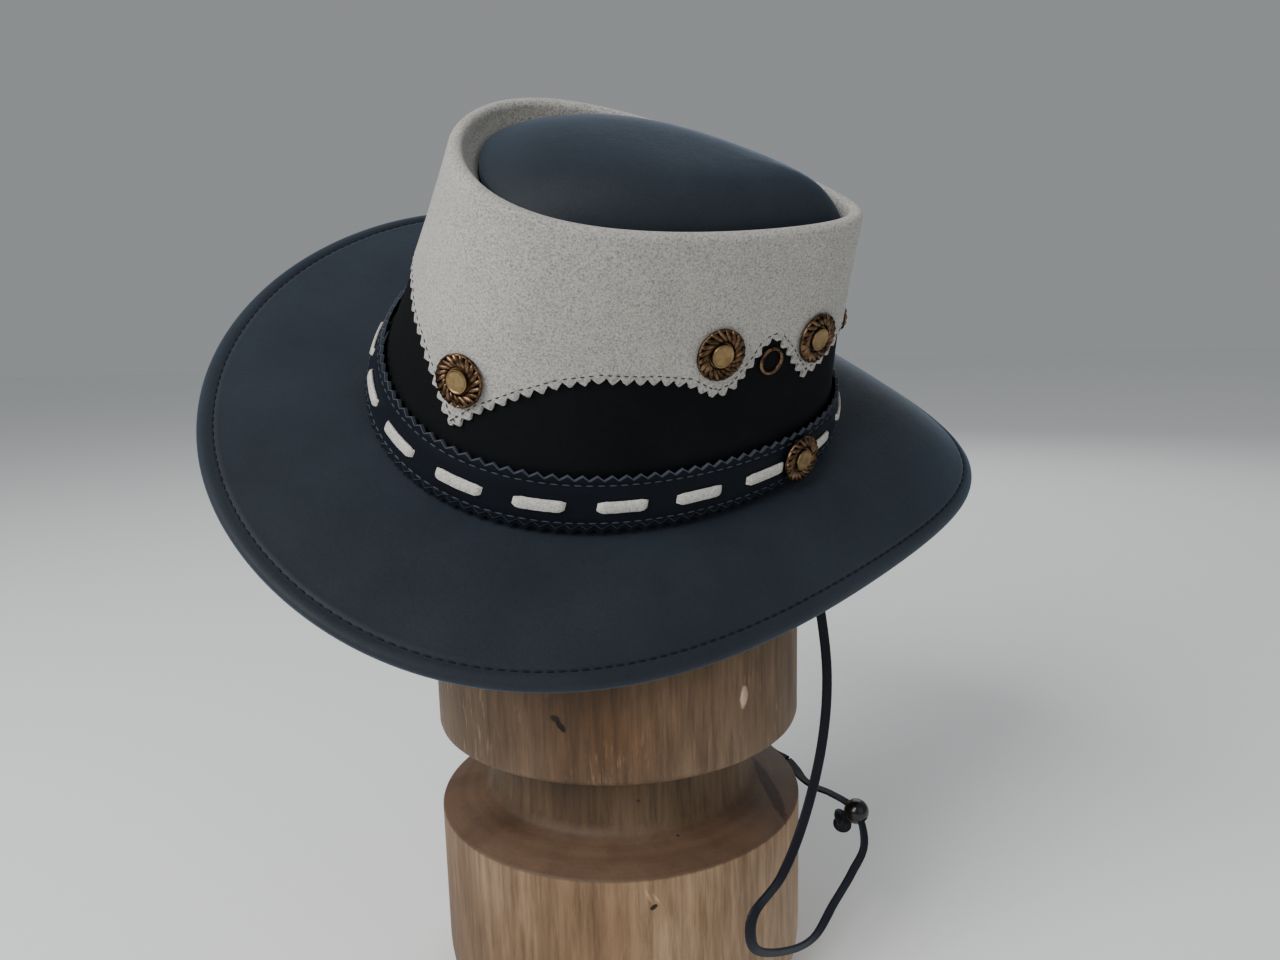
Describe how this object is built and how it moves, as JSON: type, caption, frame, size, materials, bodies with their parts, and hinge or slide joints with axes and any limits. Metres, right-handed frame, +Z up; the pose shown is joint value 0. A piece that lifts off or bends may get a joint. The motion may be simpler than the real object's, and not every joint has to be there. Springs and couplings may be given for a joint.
{
  "type": "leather cowboy hat on a wooden stand",
  "caption": "Black leather cowboy hat with a scalloped suede overlay, laced band, brass conchos and a chin cord, on a turned wooden stand.",
  "frame": {"origin": "centre of the stand's flat base, on the floor", "axes": "+Z up the stand's axis, +X the way the hat's front points, -Y the side the hat leans down to"},
  "size_m": [0.3518, 0.251, 0.3943],
  "materials": {
    "black_leather": "smooth matte nubuck",
    "wall_leather": "matte",
    "pale_suede": "suede",
    "aged_brass": "antique",
    "bright_brass": "polished",
    "turned_wood": "oiled",
    "black_lace": "matte",
    "black_bead": "gloss"
  },
  "bodies": {
    "root": {"stand": "turned_wood", "brim": "black_leather", "crown_side": "wall_leather", "overlay": "pale_suede", "crown_top": "black_leather", "hatband": "black_leather", "band_lace": "pale_suede", "concho_front": "aged_brass", "cap_front": "bright_brass", "concho_front_right": "aged_brass", "cap_front_right": "bright_brass", "concho_side_right": "aged_brass", "cap_side_right": "bright_brass", "concho_back_right": "aged_brass", "cap_back_right": "bright_brass", "concho_front_left": "aged_brass", "cap_front_left": "bright_brass", "concho_side_left": "aged_brass", "cap_side_left": "bright_brass", "concho_back_left": "aged_brass", "cap_back_left": "bright_brass", "concho_band": "aged_brass", "cap_band": "bright_brass", "eyelet_right": "aged_brass", "eyelet_left": "aged_brass", "chin_cord": "black_lace", "cord_bead": "black_bead", "cord_knot": "black_lace"}
  },
  "joints": []
}
